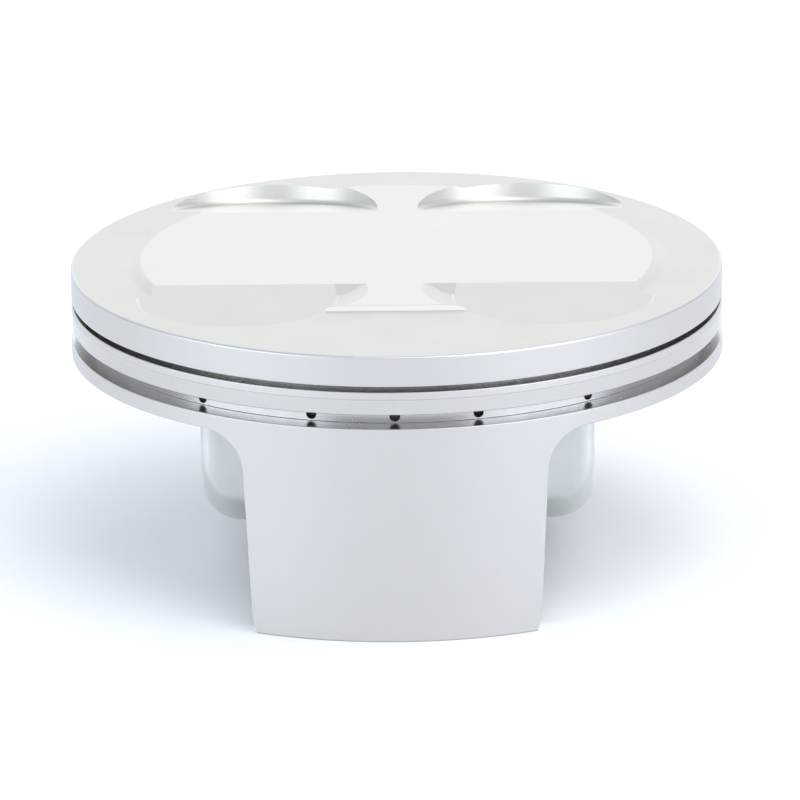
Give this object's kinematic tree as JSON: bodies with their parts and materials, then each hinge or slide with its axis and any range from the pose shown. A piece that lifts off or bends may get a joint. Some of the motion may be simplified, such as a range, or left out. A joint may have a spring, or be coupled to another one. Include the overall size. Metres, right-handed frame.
{
  "type": "motorcycle piston",
  "caption": "Forged slipper piston with valve pockets, ring grooves, drain holes and pin bosses, holding a hollow wrist pin between wire circlips; it slides in an engine cylinder.",
  "frame": {"origin": "centre of the piston's box, on the plane of the skirt's bottom edge, which it stands on; the cylinder axis passes through it", "axes": "+Z along the cylinder axis, crown up; X along the wrist pin; -Y towards the exhaust side of the crown"},
  "size_m": [0.0948, 0.095, 0.0428],
  "materials": {
    "piston_alloy": "fine blasted forging with satin turned lands and bright machined grooves",
    "pin_steel": "ground and polished case-hardened steel",
    "spring_steel": "drawn spring wire, dark phosphate"
  },
  "bodies": {
    "piston": {"piston_body": "piston_alloy", "circlip_left": "spring_steel", "circlip_right": "spring_steel"},
    "wrist_pin": {"wrist_pin": "pin_steel"}
  },
  "joints": [
    {"name": "wrist_pin_turn", "type": "hinge", "parent": "piston", "child": "wrist_pin", "pos_m": [0, 0, 0.0173], "axis": [1, 0, 0], "continuous": true}
  ]
}
